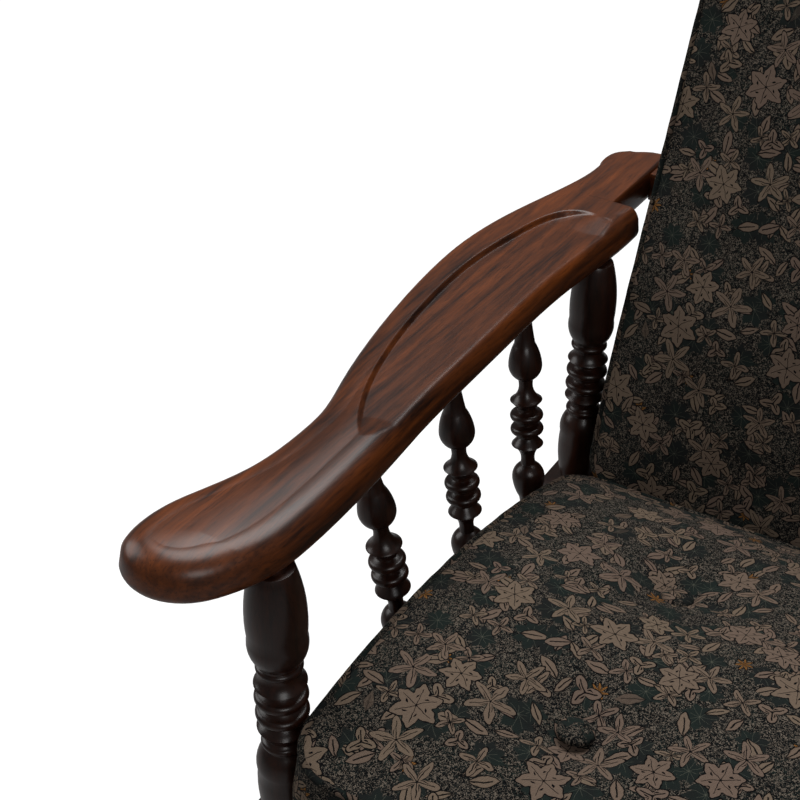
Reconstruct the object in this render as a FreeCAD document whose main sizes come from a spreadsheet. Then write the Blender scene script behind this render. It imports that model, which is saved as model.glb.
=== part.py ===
import FreeCAD, Part
import math
import os

import Sketcher

# Rocking chair, millimetres. +Z up, the sitter looks along -Y, origin on the floor in the middle
# of the bounding box. "left" is the -X side, as seen by someone who stands in front of the chair.

SIZES = {
    # runners
    "runner_radius": 1150, "runner_depth": 44, "runner_width": 32, "runner_sweep": 23.2,
    "runner_flat": 60,
    # plan of the leg and spindle rows
    "row_x": 265, "middle_y": -96, "front_leg_ahead": 233, "rear_leg_behind": 175,
    # seat frame
    "rail_top": 350, "rail_height": 65, "side_rail_thick": 40, "cross_rail_thick": 20,
    "block_side": 50, "block_height": 72, "tenon_thick": 12, "tenon_length": 18,
    "tenon_height": 38, "joint_clear": 0.1,
    "seat_pitch": 7, "seat_front_rise": 8, "slat_thick": 12, "slat_width": 50,
    "ledger_width": 18, "ledger_height": 16, "brace_reach": 60, "brace_width": 26,
    "brace_height": 26,
    # arms
    "arm_underside": 555, "arm_thick": 27, "arm_recess_depth": 3, "arm_top_round": 8,
    # turnings
    "spindle_max_r": 12.5, "post_max_r": 17.2, "leg_max_r": 20, "spindle_tenon_r": 4.4,
    "post_tenon_r": 8, "foot_tenon_r": 9, "turning_tenon": 15, "spindle_base_pitch": 90,
    "spindle_top_pitch": 105, "spindle_top_ahead": 7, "spindle_lean_out": 22,
    "stretcher_r": 14, "stretcher_tenon_r": 7, "front_stretcher_z": 182,
    "side_stretcher_z": 146,
    # back frame, measured along and across the reclined posts
    "recline": 22, "post_wide": 30, "post_deep": 42, "back_post_long": 720, "back_foot_behind": 170,
    "back_foot_z": 285, "crest_low": 575, "crest_end_height": 80, "crest_rise": 40,
    "crest_thick": 24, "low_rail_low": 95, "low_rail_height": 50, "back_slat_wide": 38,
    "back_slat_thick": 12, "finial_r": 17, "finial_long": 62,
    # bolts
    "bolt_r": 4, "bolt_head_r": 8, "bolt_head_long": 4, "bolt_head_sunk": 6,
    # cushions
    "cushion_half_wide": 244.5, "seat_cushion_overhang": 52, "seat_cushion_deep": 397,
    "seat_cushion_edge": 92, "seat_cushion_crown": 34, "cushion_round": 30,
    "back_cushion_thick": 95, "back_cushion_long": 560, "cushion_gap": 0.4,
    "button_r": 11, "button_thick": 6, "button_well_r": 15, "button_well_deep": 14,
    "button_x": 110, "button_first": 105, "button_pitch": 155,
}

doc = FreeCAD.newDocument("rocking_chair")
sheet = doc.addObject("Spreadsheet::Sheet", "Sizes")
for row, (alias, number) in enumerate(SIZES.items(), start=1):
    sheet.set(f"A{row}", alias)
    sheet.set(f"B{row}", str(number))
    sheet.setAlias(f"B{row}", alias)
doc.recompute()


class Dim:
    """A size that carries both its number and the expression that ties it to the sheet."""

    def __init__(self, number, text=None):
        self.number = float(number)
        self.text = text if text is not None else repr(float(number))

    def _join(self, other, sign, number):
        return Dim(number, f"({self.text} {sign} {other.text})")

    def __add__(self, other):
        other = as_dim(other)
        return self._join(other, "+", self.number + other.number)

    def __sub__(self, other):
        other = as_dim(other)
        return self._join(other, "-", self.number - other.number)

    def __mul__(self, other):
        other = as_dim(other)
        return self._join(other, "*", self.number * other.number)

    def __truediv__(self, other):
        other = as_dim(other)
        return self._join(other, "/", self.number / other.number)

    def __neg__(self):
        return Dim(-self.number, f"(0 - {self.text})")

    def __radd__(self, other):
        return as_dim(other) + self

    def __rsub__(self, other):
        return as_dim(other) - self

    def __rmul__(self, other):
        return as_dim(other) * self


def as_dim(value):
    return value if isinstance(value, Dim) else Dim(value)


def root(value):
    return Dim(math.sqrt(value.number), f"sqrt({value.text})")


def sine(angle):
    return Dim(math.sin(math.radians(angle.number)), f"sin({angle.text} * 1 deg)")


def cosine(angle):
    return Dim(math.cos(math.radians(angle.number)), f"cos({angle.text} * 1 deg)")


def size(alias):
    return Dim(sheet.get(alias), f"Sizes.{alias}")


def bind(thing, **links):
    """Tie each property to the sheet: a Dim, or a number that never changes."""
    for name, value in links.items():
        dim = as_dim(value)
        setattr(thing, name, dim.number)
        thing.setExpression(name, dim.text)


def vector(point):
    return FreeCAD.Vector(*[as_dim(value).number for value in point])


def place(thing, point, axis=(0, 0, 1), angle=0.0):
    """Stand a thing at a point of the chair, turned about an axis, tied to the sheet."""
    turn = FreeCAD.Rotation(FreeCAD.Vector(*axis), as_dim(angle).number)
    thing.Placement = FreeCAD.Placement(vector(point), turn)
    for letter, value in zip("xyz", point):
        thing.setExpression(f"Placement.Base.{letter}", as_dim(value).text)


def box(name, sides, corner, axis=(1, 0, 0), angle=0.0):
    thing = doc.addObject("Part::Box", name)
    bind(thing, Length=sides[0], Width=sides[1], Height=sides[2])
    place(thing, corner, axis, angle)
    return thing


# Turns that carry a cylinder's own +Z to the row axis named
ALONG = {"x": ((0, 1, 0), 90.0), "y": ((1, 0, 0), -90.0), "z": ((0, 0, 1), 0.0)}


def cylinder(name, radius, length, start, along="z"):
    thing = doc.addObject("Part::Cylinder", name)
    bind(thing, Radius=radius, Height=length)
    place(thing, start, *ALONG[along])
    return thing


def join(name, pieces):
    thing = doc.addObject("Part::MultiFuse", name)
    thing.Shapes = pieces
    thing.Refine = True
    return thing


def carve(name, base, tools):
    """The base less every tool."""
    thing = doc.addObject("Part::Cut", name)
    thing.Base = base
    thing.Tool = tools[0] if len(tools) == 1 else join(f"{name}_tools", tools)
    thing.Refine = True
    return thing


nodes = []


def node(label, thing):
    """Keep a finished piece as a sub-part of the chair."""
    thing.Label = label
    nodes.append(thing)
    return thing


def plane(body, role):
    return next(item for item in body.Origin.OriginFeatures if item.Role == role)


def sketch_in(body, name, role):
    sketch = body.newObject("Sketcher::SketchObject", name)
    sketch.AttachmentSupport = (plane(body, role), [""])
    sketch.MapMode = "FlatFace"
    return sketch


def pin_vertex(sketch, edge, end, point):
    """Hold an edge's end at a place tied to the sheet; a place on an axis is held on it."""
    for kind, axis, value in (("DistanceX", -2, point[0]), ("DistanceY", -1, point[1])):
        dim = as_dim(value)
        if abs(dim.number) < 1e-9:
            sketch.addConstraint(Sketcher.Constraint("PointOnObject", edge, end, axis))
            continue
        index = sketch.addConstraint(Sketcher.Constraint(kind, -1, 1, edge, end, dim.number))
        sketch.setExpression(f"Constraints[{index}]", dim.text)


def outline(sketch, corners):
    """A closed chain. Each corner is (x, y, bulge): the bulge bends the edge that leaves it,
    as rise over half its chord, to the left when positive; 0 is a straight edge."""
    count = len(corners)
    for index, (x0, y0, bulge) in enumerate(corners):
        x1, y1, _ = corners[(index + 1) % count]
        start = vector((x0, y0, 0))
        stop = vector((x1, y1, 0))
        if bulge:
            chord = stop - start
            side = FreeCAD.Vector(-chord.y, chord.x, 0) * (bulge / 2)
            arc = Part.Arc(start, (start + stop) / 2 + side, stop)
            edge = sketch.addGeometry(arc)
            half = root((x1 - x0) * (x1 - x0) + (y1 - y0) * (y1 - y0)) / 2
            radius = half * ((1 + bulge * bulge) / (2 * abs(bulge)))
            limit = sketch.addConstraint(Sketcher.Constraint("Radius", edge, radius.number))
            sketch.setExpression(f"Constraints[{limit}]", radius.text)
            first, last = (1, 2) if bulge < 0 else (2, 1)
        else:
            edge = sketch.addGeometry(Part.LineSegment(start, stop))
            first, last = (1, 2)
        pin_vertex(sketch, edge, first, (x0, y0))
        pin_vertex(sketch, edge, last, (x1, y1))


def turned(name, stations):
    """A piece turned about its own Z. Stations are (radius, height, bulge) from foot to top."""
    body = doc.addObject("PartDesign::Body", name)
    sketch = sketch_in(body, f"{name}_profile", "XZ_Plane")
    zero = Dim(0)
    corners = [(as_dim(radius), as_dim(height), bulge) for radius, height, bulge in stations]
    foot = (zero, corners[0][1], 0)
    top = (zero, corners[-1][1], 0)
    outline(sketch, [foot] + corners + [top])
    spin = body.newObject("PartDesign::Revolution", f"{name}_turning")
    spin.Profile = sketch
    spin.ReferenceAxis = (sketch, ["V_Axis"])
    spin.Angle = 360
    sketch.Visibility = False
    return body


def slab(name, role, corners, thick, centred=False):
    """A board: a closed outline on one of the origin planes, padded to its thickness."""
    body = doc.addObject("PartDesign::Body", name)
    sketch = sketch_in(body, f"{name}_outline", role)
    outline(sketch, [(as_dim(x), as_dim(y), bulge) for x, y, bulge in corners])
    pad = body.newObject("PartDesign::Pad", f"{name}_board")
    pad.Profile = sketch
    bind(pad, Length=thick)
    pad.Midplane = centred
    return body


# Places that several pieces share
SIDES = (("left", -1), ("right", 1))
clear = size("joint_clear")
row_x = size("row_x")
rail_top = size("rail_top")
rail_low = rail_top - size("rail_height")
block_side = size("block_side")
block_low = rail_top - size("block_height")
arm_underside = size("arm_underside")
arm_top = arm_underside + size("arm_thick")
front_leg_y = size("middle_y") - size("front_leg_ahead")
rear_leg_y = size("middle_y") + size("rear_leg_behind")
runner_inner_r = size("runner_radius") - size("runner_depth")
flat_half = size("runner_flat") / 2
rocking_centre_z = root(size("runner_radius") * size("runner_radius") - flat_half * flat_half)
recline = size("recline")
back_foot_y = size("middle_y") + size("back_foot_behind")
back_foot_z = size("back_foot_z")
post_outer_x = row_x - block_side / 2
post_inner_x = post_outer_x - size("post_wide")
bolt_r = size("bolt_r")
turning_tenon = size("turning_tenon")


def on_side(sign, value, span=0):
    """The low-X corner of a piece that spans from value outwards, on either side."""
    return value if sign > 0 else -(as_dim(value) + span)


def reclined(along, across):
    """Y and Z of a place along the reclined posts and across them, backwards."""
    y = back_foot_y + sine(recline) * along + cosine(recline) * across
    z = back_foot_z + cosine(recline) * along - sine(recline) * across
    return y, z


def reclined_box(name, sides, low_x, along, across):
    """A box whose length is across the chair, width across the posts, height along them."""
    y, z = reclined(along, across)
    return box(name, sides, (low_x, y, z), (1, 0, 0), -recline)


def runner_blank(side, sign):
    """A ring sector with round ends, shaved flat where it meets the floor."""
    depth = size("runner_depth")
    width = size("runner_width")
    sweep = size("runner_sweep")
    low_x = sign * row_x - width / 2
    rim = cylinder(f"runner_rim_{side}", size("runner_radius"), width,
                   (low_x, 0, rocking_centre_z), "x")
    hollow = cylinder(f"runner_hollow_{side}", runner_inner_r, width,
                      (low_x, 0, rocking_centre_z), "x")
    # the sector is drawn from one end of the runner to the other, about the rocking centre
    for disc in (rim, hollow):
        bind(disc, Angle=sweep * 2)
        turn = FreeCAD.Rotation(FreeCAD.Vector(1, 0, 0), -sweep.number)
        disc.Placement.Rotation = turn.multiply(FreeCAD.Rotation(0, 90, 0))
    ring = carve(f"runner_ring_{side}", rim, [hollow])
    middle_r = size("runner_radius") - depth / 2
    tips = []
    for end, way in (("front", -1), ("rear", 1)):
        y = way * (middle_r * sine(sweep))
        z = rocking_centre_z - middle_r * cosine(sweep)
        tips.append(cylinder(f"runner_tip_{end}_{side}", depth / 2, width, (low_x, y, z), "x"))
    whole = join(f"runner_whole_{side}", [ring] + tips)
    floor = box(f"runner_floor_{side}", (width, size("runner_flat") * 2, 5),
                (low_x, -size("runner_flat"), -5))
    return carve(f"runner_blank_{side}", whole, [floor])


def post_stations(low, high, radius):
    """The vase, disc and twin ring turning between seat and arm, the same both ways up."""
    middle = (low + high) / 2
    half = (high - low) / 2
    rising = [
        (radius * 0.72, half, -0.10), (radius, half * 0.52, -0.24),
        (radius * 0.72, half * 0.33, 0), (radius * 0.72, half * 0.315, -0.7),
        (radius * 0.72, half * 0.27, 0), (radius * 0.64, half * 0.255, 0.20),
        (radius * 0.92, half * 0.17, 0), (radius * 0.60, half * 0.130, 0),
        (radius * 0.60, half * 0.115, 0), (radius * 0.78, half * 0.095, -0.8),
        (radius * 0.78, half * 0.030, 0), (radius * 0.62, half * 0.012, 0),
    ]
    upper = []
    for index in range(len(rising) - 1, -1, -1):
        reach, height, _ = rising[index]
        bend = rising[index - 1][2] if index else 0
        upper.append((reach, middle + height, bend))
    lower = [(reach, middle - height, bend) for reach, height, bend in rising]
    return lower + upper


def leg(side, sign, end, y, runner):
    """One leg from runner to arm: turned foot, square block at the seat, turned arm post."""
    x = sign * row_x
    name = f"{end}_leg_{side}"
    tenon_r = size("post_tenon_r")
    top_r = size("leg_max_r")
    foot_z = rocking_centre_z - root(runner_inner_r * runner_inner_r - y * y)
    low = foot_z - 14
    shank = turned(f"{name}_shank", [
        (top_r * 0.62, low, -0.04), (top_r * 0.90, foot_z + 62, 0),
        (top_r * 0.95, block_low - 62, -0.10), (top_r * 0.58, block_low - 42, 0),
        (top_r * 0.74, block_low - 40, -0.8), (top_r * 0.74, block_low - 32, 0),
        (top_r * 0.58, block_low - 30, 0.25), (top_r * 0.98, block_low - 14, 0),
        (top_r * 0.66, block_low - 8, 0), (top_r * 0.66, block_low - 6, 0),
        (top_r, block_low - 6, 0), (top_r, block_low, 0)])
    place(shank, (x, y, 0))
    block = box(f"{name}_block", (block_side, block_side, size("block_height")),
                (x - block_side / 2, y - block_side / 2, block_low))
    post = turned(f"{name}_post", post_stations(rail_top, arm_underside, size("post_max_r")))
    place(post, (x, y, 0))
    arm_tenon = cylinder(f"{name}_arm_tenon", tenon_r, turning_tenon * 2,
                         (x, y, arm_underside - turning_tenon))
    foot_tenon = cylinder(f"{name}_foot_tenon", size("foot_tenon_r"), turning_tenon * 2,
                          (x, y, foot_z - turning_tenon))
    scribed = carve(f"{name}_scribed", shank, [runner])
    return join(f"{name}_whole", [scribed, block, post, arm_tenon, foot_tenon])


def tenon_box(name, low, sides, grow=0):
    """A rail's tenon, or the mortise for it when grown by the joint's clearance."""
    corner = [as_dim(value) - grow for value in low]
    spans = [as_dim(value) + as_dim(grow) * 2 for value in sides]
    return box(name, spans, corner)


def rail_joint(x, y, along, sign):
    """Low corner and sides of the tenon that leaves a leg's block along X or Y."""
    thick = size("tenon_thick")
    length = size("tenon_length")
    tall = size("tenon_height")
    low_z = rail_low + (size("rail_height") - tall) / 2
    if along == "x":
        face = x - sign * block_side / 2
        low_x = face if sign > 0 else face - length
        return (low_x, y - thick / 2, low_z), (length, thick, tall)
    face = y + sign * block_side / 2
    low_y = face - length if sign > 0 else face
    return (x - thick / 2, low_y, low_z), (thick, length, tall)


def cross_rail_y(end):
    """Low Y of the front or rear rail: flush inside the rear legs, centred on the front ones."""
    thick = size("cross_rail_thick")
    if end == "rear":
        return rear_leg_y - block_side / 2
    return front_leg_y - thick / 2


# ---- Runners and legs -------------------------------------------------------------------------
LEG_ROWS = (("front", front_leg_y, 1), ("rear", rear_leg_y, -1))
foot_tenon_r = size("foot_tenon_r")
stretcher_tenon_r = size("stretcher_tenon_r")
rear_tenon_y = cross_rail_y("rear") + size("cross_rail_thick") / 2
cross_tenon_y = {"front": front_leg_y, "rear": rear_tenon_y}
post_bolt_along = 22
post_bolt_y, post_bolt_z = reclined(post_bolt_along, 12)

for side, sign in SIDES:
    blank = runner_blank(side, sign)
    x = sign * row_x
    sockets = []
    for end, y, inward in LEG_ROWS:
        foot_z = rocking_centre_z - root(runner_inner_r * runner_inner_r - y * y)
        sockets.append(cylinder(f"foot_socket_{end}_{side}", foot_tenon_r + clear,
                                turning_tenon * 2 + clear, (x, y, foot_z - turning_tenon - clear)))
        whole = leg(side, sign, end, y, blank)
        mortises = []
        for along, way, joint_y in (("x", sign, cross_tenon_y[end]), ("y", inward, y)):
            low, sides = rail_joint(x, joint_y, along, way)
            mortises.append(tenon_box(f"{end}_{side}_mortise_{along}", low, sides, clear))
        face_x = x - sign * 4
        front_hole_x = face_x if sign < 0 else face_x - turning_tenon * 2
        mortises.append(cylinder(f"{end}_{side}_cross_bore", stretcher_tenon_r + clear,
                                 turning_tenon * 2, (front_hole_x, y, size("front_stretcher_z")), "x"))
        side_hole_y = y - 4 if inward > 0 else y + 4 - turning_tenon * 2
        mortises.append(cylinder(f"{end}_{side}_side_bore", stretcher_tenon_r + clear,
                                 turning_tenon * 2, (x, side_hole_y, size("side_stretcher_z")), "y"))
        if end == "rear":
            mortises.append(cylinder(f"{side}_post_bolt_bore", bolt_r + clear, block_side + 2,
                                     (x - block_side / 2 - 1, post_bolt_y, post_bolt_z), "x"))
        node(f"{end}_leg_{side}", carve(f"{end}_leg_{side}_mortised", whole, mortises))
    node(f"runner_{side}", carve(f"runner_{side}_bored", blank, sockets))

# ---- Seat frame -------------------------------------------------------------------------------
side_thick = size("side_rail_thick")
side_inner_x = row_x - side_thick / 2
side_rail_front = front_leg_y + block_side / 2
side_rail_back = rear_leg_y - block_side / 2
spindle_tenon_r = size("spindle_tenon_r")


def spindle_ends(index, sign):
    """Foot on the side rail and head under the arm of one of the three spindles."""
    step = index - 1
    foot = (sign * row_x, size("middle_y") + size("spindle_base_pitch") * step, rail_top)
    head = (sign * (row_x + size("spindle_lean_out")),
            size("middle_y") - size("spindle_top_ahead") + size("spindle_top_pitch") * step,
            arm_underside)
    return foot, head


def lean(foot, head):
    """The turn that carries +Z to the line from foot to head."""
    return FreeCAD.Rotation(FreeCAD.Vector(0, 0, 1), vector(head) - vector(foot))


def spindle_length(foot, head):
    across = [b - a for a, b in zip(foot, head)]
    return root(across[0] * across[0] + across[1] * across[1] + across[2] * across[2])


def leaning_bore(name, foot, head, at_head):
    """The socket for a spindle's tenon in the rail or in the arm."""
    bore = doc.addObject("Part::Cylinder", name)
    bind(bore, Radius=spindle_tenon_r + clear, Height=turning_tenon * 2)
    turn = lean(foot, head)
    start = vector(head if at_head else foot) - turn.multVec(
        FreeCAD.Vector(0, 0, turning_tenon.number))
    bore.Placement = FreeCAD.Placement(start, turn)
    return bore


for side, sign in SIDES:
    low_x = on_side(sign, side_inner_x, side_thick)
    beam = box(f"side_beam_{side}", (side_thick, side_rail_back - side_rail_front,
                                     size("rail_height")), (low_x, side_rail_front, rail_low))
    ends = []
    for end, y, inward in LEG_ROWS:
        low, sides = rail_joint(sign * row_x, y, "y", inward)
        ends.append(tenon_box(f"side_tenon_{end}_{side}", low, sides))
    bores = []
    for index in range(3):
        foot, head = spindle_ends(index, sign)
        bores.append(leaning_bore(f"rail_bore_{index}_{side}", foot, head, False))
    rail = join(f"side_rail_{side}_whole", [beam] + ends)
    node(f"side_rail_{side}", carve(f"side_rail_{side}_bored", rail, bores))

for end, leg_y, inward in LEG_ROWS:
    thick = size("cross_rail_thick")
    beam = box(f"{end}_beam", (post_outer_x * 2, thick, size("rail_height")),
               (-post_outer_x, cross_rail_y(end), rail_low))
    ends = []
    for side, sign in SIDES:
        low, sides = rail_joint(sign * row_x, cross_tenon_y[end], "x", sign)
        ends.append(tenon_box(f"{end}_tenon_{side}", low, sides))
    node(f"{end}_rail", join(f"{end}_rail_whole", [beam] + ends))

# The slats lie on two ledgers that fall towards the back, so the seat is pitched
seat_pitch = size("seat_pitch")
slat_thick = size("slat_thick")
slat_width = size("slat_width")
seat_origin_y = front_leg_y
seat_origin_z = rail_top + size("seat_front_rise")


def pitched(along, above):
    """Y and Z of a place along the pitched seat and above its slats."""
    y = seat_origin_y + cosine(seat_pitch) * along + sine(seat_pitch) * above
    z = seat_origin_z - sine(seat_pitch) * along + cosine(seat_pitch) * above
    return y, z


def pitched_box(name, sides, low_x, along, above):
    y, z = pitched(along, above)
    return box(name, sides, (low_x, y, z), (1, 0, 0), -seat_pitch)


ledger_start = block_side / 2 + 4
ledger_long = side_rail_back - side_rail_front - 12
for side, sign in SIDES:
    low_x = on_side(sign, side_inner_x - size("ledger_width"), size("ledger_width"))
    node(f"seat_ledger_{side}",
         pitched_box(f"ledger_{side}", (size("ledger_width"), ledger_long,
                                        size("ledger_height")),
                     low_x, ledger_start, -(slat_thick + size("ledger_height"))))

SEAT_SLATS = 5
slat_field = ledger_long - slat_width
for index in range(SEAT_SLATS):
    along = ledger_start + slat_field * (index / (SEAT_SLATS - 1))
    node(f"seat_slat_{index + 1}",
         pitched_box(f"slat_{index}", ((side_inner_x - clear) * 2, slat_width, slat_thick),
                     -(side_inner_x - clear), along, -slat_thick))

brace_near = size("brace_reach")
brace_far = brace_near + size("brace_width")
rail_face = cross_rail_y("front") + size("cross_rail_thick")
for side, sign in SIDES:
    corners = [(sign * side_inner_x, rail_face + brace_near, 0),
               (sign * side_inner_x, rail_face + brace_far, 0),
               (sign * (side_inner_x - brace_far), rail_face, 0),
               (sign * (side_inner_x - brace_near), rail_face, 0)]
    brace = slab(f"brace_{side}", "XY_Plane", corners, size("brace_height"))
    place(brace, (0, 0, rail_low + 4))
    node(f"corner_brace_{side}", brace)

# ---- Stretchers -------------------------------------------------------------------------------


def stretcher(name, length):
    """A turned rung, the same both ways, with a tenon at each end."""
    thick = size("stretcher_r")
    pin = stretcher_tenon_r
    bury = turning_tenon - 4
    half = length / 2
    shape = [(pin, -bury, 0), (pin, as_dim(0), 0), (pin * 1.15, as_dim(0), -0.05),
             (thick, half * 0.62, 0), (thick * 0.62, half * 0.80, 0),
             (thick * 0.62, half * 0.81, 0), (thick * 0.96, half * 0.83, -0.8),
             (thick * 0.96, half * 0.89, 0), (thick * 0.70, half * 0.92, 0)]
    mirrored = []
    for index in range(len(shape) - 1, -1, -1):
        reach, height, _ = shape[index]
        bend = shape[index - 1][2] if index else 0
        mirrored.append((reach, length - height, bend))
    return turned(name, shape + mirrored)


leg_face = size("leg_max_r") * 0.94
front_reach = row_x - leg_face
cross_span = front_reach * 2
for end, leg_y, inward in LEG_ROWS:
    rung = stretcher(f"{end}_rung", cross_span)
    place(rung, (-front_reach, leg_y, size("front_stretcher_z")), *ALONG["x"])
    node(f"{end}_stretcher", rung)
side_start = front_leg_y + leg_face
side_span = rear_leg_y - leg_face - side_start
for side, sign in SIDES:
    rung = stretcher(f"side_rung_{side}", side_span)
    place(rung, (sign * row_x, side_start, size("side_stretcher_z")), *ALONG["y"])
    node(f"side_stretcher_{side}", rung)

# ---- Arms and their spindles ------------------------------------------------------------------
# The arm's plan in millimetres: reach outwards from the leg row, then the distance behind the
# middle spindle's foot. It runs from the heel, round the outer bulge and the paddle, and back.
ARM_OUTER = ((59, 300), (60, 265), (66, 232), (77, 184), (83, 150), (86, 110), (84, 65),
             (79, 22), (70, -30), (56, -88), (48, -118), (46, -150), (50, -190),
             (60, -220), (68, -242), (70, -262), (65, -280), (52, -289), (32, -290),
             (14, -281), (0, -262), (-9, -238), (-12, -210), (-12, -170), (-10, -130),
             (-7, -90), (-5, -20), (-4, 45), (-5, 112), (-10, 170), (-12, 224))
ARM_BACK_Y = 332
ARM_NOTCH_X = 9
RECESS_ARC = ((18, -120), (41, -60), (53, 5), (57, 90), (50, 145), (30, 192))
RECESS_LINE = ((4, -140), (10, 196))


def arm_plan(sign, points):
    """Plan points on one side of the chair, from reach and distance along the arm."""
    return [vector((sign * (row_x + reach), size("middle_y") + along, 0))
            for reach, along in points]


def smooth(points):
    curve = Part.BSplineCurve()
    curve.interpolate(points)
    return curve


def chain(sketch, curves):
    for curve in curves:
        sketch.addGeometry(curve)


def arm_body(side, sign):
    body = doc.addObject("PartDesign::Body", f"arm_board_{side}")
    plan = sketch_in(body, f"arm_plan_{side}", "XY_Plane")
    outer = arm_plan(sign, ARM_OUTER)
    heel = arm_plan(sign, ((ARM_NOTCH_X, ARM_OUTER[-1][1]), (ARM_NOTCH_X, ARM_BACK_Y),
                           (ARM_OUTER[0][0] - 12, ARM_BACK_Y)))
    lines = [Part.LineSegment(outer[-1], heel[0]), Part.LineSegment(heel[0], heel[1]),
             Part.LineSegment(heel[1], heel[2])]
    corner = arm_plan(sign, ((ARM_OUTER[0][0] - 2.5, ARM_BACK_Y - 8),))[0]
    chain(plan, [smooth(outer)] + lines + [Part.Arc(heel[2], corner, outer[0])])
    board = body.newObject("PartDesign::Pad", f"arm_pad_{side}")
    board.Profile = plan
    bind(board, Length=size("arm_thick"))
    doc.recompute()
    thick = board.Length.Value
    rims = {"top": [], "under": []}
    for index, edge in enumerate(board.Shape.Edges, start=1):
        if edge.BoundBox.ZLength > 1e-6:
            continue
        rims["top" if edge.BoundBox.ZMin > thick / 2 else "under"].append(f"Edge{index}")
    round_top = body.newObject("PartDesign::Fillet", f"arm_round_top_{side}")
    round_top.Base = (board, rims["top"])
    bind(round_top, Radius=size("arm_top_round"))
    doc.recompute()
    recess = body.newObject("Sketcher::SketchObject", f"arm_recess_{side}")
    recess.AttachmentSupport = (plane(body, "XY_Plane"), [""])
    recess.MapMode = "FlatFace"
    recess.AttachmentOffset = FreeCAD.Placement(FreeCAD.Vector(0, 0, thick), FreeCAD.Rotation())
    ends = arm_plan(sign, RECESS_LINE)
    arc = arm_plan(sign, (RECESS_LINE[0],) + RECESS_ARC + (RECESS_LINE[1],))
    chain(recess, [smooth(arc), Part.LineSegment(ends[1], ends[0])])
    pocket = body.newObject("PartDesign::Pocket", f"arm_pocket_{side}")
    pocket.Profile = recess
    bind(pocket, Length=size("arm_recess_depth"))
    doc.recompute()
    if pocket.Shape.Volume >= round_top.Shape.Volume:
        raise RuntimeError("the arm's recess took nothing away")
    place(body, (0, 0, arm_underside))
    return body


arm_bolt_along = (arm_underside + size("arm_thick") / 2 - back_foot_z) / cosine(recline)
arm_bolt_y, _ = reclined(arm_bolt_along, 0)
arm_bolt_y = arm_bolt_y + size("post_deep") * 0.5
arm_bolt_z = arm_underside + size("arm_thick") / 2
arm_side_x = row_x + ARM_NOTCH_X
arm_head_x = row_x + ARM_OUTER[0][0] - size("bolt_head_long") - size("bolt_head_sunk")

for side, sign in SIDES:
    board = arm_body(side, sign)
    bores = []
    for end, y, inward in LEG_ROWS:
        bores.append(cylinder(f"arm_socket_{end}_{side}", size("post_tenon_r") + clear,
                              turning_tenon + 1 + clear, (sign * row_x, y, arm_underside - 1)))
    for index in range(3):
        foot, head = spindle_ends(index, sign)
        bores.append(leaning_bore(f"arm_bore_{index}_{side}", foot, head, True))
    bores.append(cylinder(f"arm_bolt_bore_{side}", bolt_r + clear, 200,
                          (sign * row_x - 100, arm_bolt_y, arm_bolt_z), "x"))
    bores.append(cylinder(f"arm_head_bore_{side}", size("bolt_head_r") + clear, 20,
                          (on_side(sign, arm_head_x, 20), arm_bolt_y, arm_bolt_z), "x"))
    node(f"arm_{side}", carve(f"arm_{side}_bored", board, bores))
    half_block = 15
    gap = arm_side_x - post_outer_x
    low_x = on_side(sign, post_outer_x, gap)
    spacer = box(f"arm_spacer_{side}", (gap, half_block * 2, size("arm_thick") - 4),
                 (low_x, arm_bolt_y - half_block, arm_underside + 2))
    spacer_bore = cylinder(f"arm_spacer_bore_{side}", bolt_r + clear, 200,
                           (sign * row_x - 100, arm_bolt_y, arm_bolt_z), "x")
    node(f"arm_block_{side}", carve(f"arm_block_{side}_bored", spacer, [spacer_bore]))

for side, sign in SIDES:
    for index in range(3):
        foot, head = spindle_ends(index, sign)
        length = spindle_length(foot, head)
        half = length / 2
        big = size("spindle_max_r")
        pin = spindle_tenon_r
        bury = turning_tenon - 1
        shape = [(pin, -bury, 0), (pin, as_dim(1), 0), (big * 0.38, as_dim(3), 0.03),
                 (big * 0.62, half * 0.36, -0.10), (big, half * 0.52, -0.30),
                 (big * 0.44, half * 0.645, 0), (big * 0.43, half * 0.670, 0.30),
                 (big * 0.97, half * 0.815, 0), (big * 0.56, half * 0.875, 0),
                 (big * 0.56, half * 0.900, 0), (big * 0.80, half * 0.912, -0.8),
                 (big * 0.80, half * 0.974, 0), (big * 0.58, half * 0.988, 0)]
        mirrored = []
        for place_in in range(len(shape) - 1, -1, -1):
            reach, height, _ = shape[place_in]
            bend = shape[place_in - 1][2] if place_in else 0
            mirrored.append((reach, length - height, bend))
        piece = turned(f"spindle_{side}_{index + 1}", shape + mirrored)
        piece.Placement = FreeCAD.Placement(vector(foot), lean(foot, head))
        node(f"arm_spindle_{side}_{index + 1}", piece)

# ---- Back frame -------------------------------------------------------------------------------
post_wide = size("post_wide")
post_deep = size("post_deep")
crest_thick = size("crest_thick")
crest_low = size("crest_low")
crest_end = size("crest_end_height")
low_rail_low = size("low_rail_low")
low_rail_high = low_rail_low + size("low_rail_height")
rail_across = (post_deep - crest_thick) / 2
tongue = size("tenon_length")


def tongue_box(name, sign, along, tall, grow=0):
    """The tongue of a back rail inside a post, or its mortise when grown."""
    thick = crest_thick * 0.5
    low_x = on_side(sign, post_inner_x, tongue)
    return reclined_box(name, (tongue + as_dim(grow) * 2, thick + as_dim(grow) * 2,
                               tall + as_dim(grow) * 2),
                        low_x - grow, along - as_dim(grow),
                        rail_across + crest_thick * 0.25 - grow)


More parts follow.
